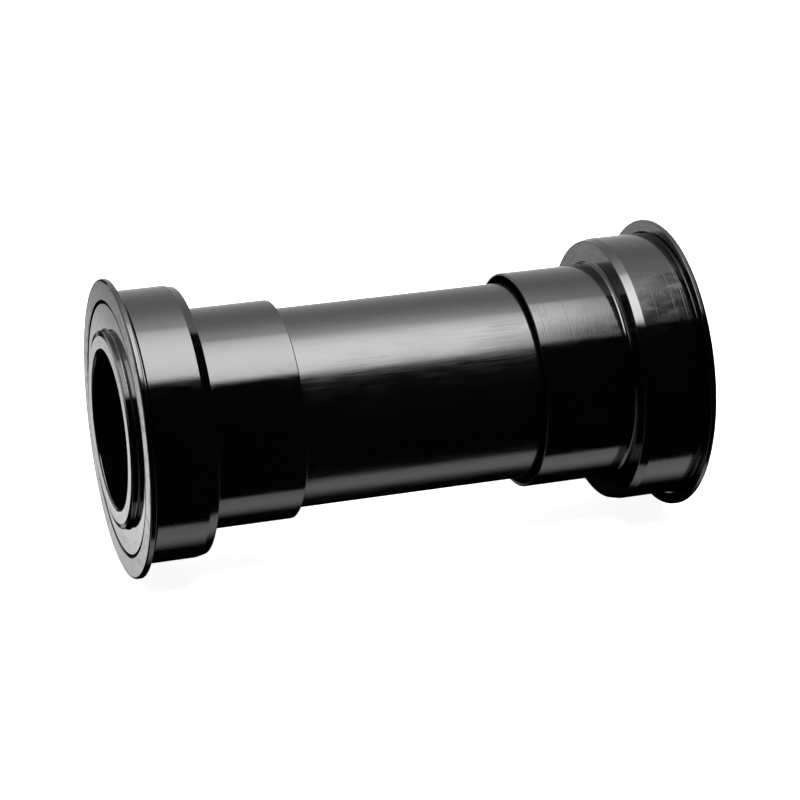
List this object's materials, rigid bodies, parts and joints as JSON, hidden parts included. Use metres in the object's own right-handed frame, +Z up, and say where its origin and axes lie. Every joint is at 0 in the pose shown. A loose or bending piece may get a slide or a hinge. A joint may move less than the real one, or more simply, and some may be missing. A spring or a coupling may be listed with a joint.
{
  "type": "bottom bracket",
  "caption": "Press-fit bicycle bottom bracket: flanged cups with sealed cartridge bearings and dust covers, telescoping over a plain centre sleeve.",
  "frame": {"origin": "middle of the bracket, on its axis, with the cups pushed fully together", "axes": "+Y along the axis towards the left cup (the bicycle's left, non-drive side), +X forward, +Z up"},
  "size_m": [0.045, 0.0892, 0.045],
  "materials": {
    "cup_anodised": "semi-gloss black anodised, finely turned",
    "sleeve_anodised": "black anodised, brushed along its length",
    "cover_anodised": "semi-gloss black anodised, face turned",
    "bearing_steel": "ground and polished bearing steel",
    "ball_steel": "polished bearing steel",
    "cage_nylon": "natural glass-filled nylon",
    "seal_rubber": "matt black nitrile rubber"
  },
  "bodies": {
    "left_cup_body": {"left_cup": "cup_anodised", "left_bearing_outer_ring": "bearing_steel", "left_outboard_seal": "seal_rubber", "left_inboard_seal": "seal_rubber"},
    "sleeve_body": {"centre_sleeve": "sleeve_anodised", "left_sleeve_ring": "seal_rubber", "right_sleeve_ring": "seal_rubber"},
    "right_cup_body": {"right_cup": "cup_anodised", "right_bearing_outer_ring": "bearing_steel", "right_outboard_seal": "seal_rubber", "right_inboard_seal": "seal_rubber"},
    "left_bush_body": {"left_dust_cover": "cover_anodised", "left_bearing_inner_ring": "bearing_steel", "left_cover_seal": "seal_rubber"},
    "left_cage_body": {"left_ball_cage": "cage_nylon", "left_bearing_balls": "ball_steel"},
    "right_bush_body": {"right_dust_cover": "cover_anodised", "right_bearing_inner_ring": "bearing_steel", "right_cover_seal": "seal_rubber"},
    "right_cage_body": {"right_ball_cage": "cage_nylon", "right_bearing_balls": "ball_steel"}
  },
  "joints": [
    {"name": "sleeve_slide", "type": "slide", "parent": "left_cup_body", "child": "sleeve_body", "axis": [0, -1, 0], "range_m": [0, 0.0032]},
    {"name": "right_cup_slide", "type": "slide", "parent": "sleeve_body", "child": "right_cup_body", "axis": [0, -1, 0], "range_m": [0, 0.0032]},
    {"name": "left_bearing_spin", "type": "hinge", "parent": "left_cup_body", "child": "left_bush_body", "pos_m": [0, 0.0383, 0], "axis": [0, 1, 0], "continuous": true},
    {"name": "left_cage_spin", "type": "hinge", "parent": "left_cup_body", "child": "left_cage_body", "pos_m": [0, 0.0383, 0], "axis": [0, 1, 0], "continuous": true},
    {"name": "right_bearing_spin", "type": "hinge", "parent": "right_cup_body", "child": "right_bush_body", "pos_m": [0, -0.0383, 0], "axis": [0, 1, 0], "continuous": true},
    {"name": "right_cage_spin", "type": "hinge", "parent": "right_cup_body", "child": "right_cage_body", "pos_m": [0, -0.0383, 0], "axis": [0, 1, 0], "continuous": true}
  ],
  "couplings": [
    {"joint": "left_cage_spin", "follows": "left_bearing_spin", "ratio": 0.44355},
    {"joint": "right_cage_spin", "follows": "right_bearing_spin", "ratio": 0.44355}
  ]
}
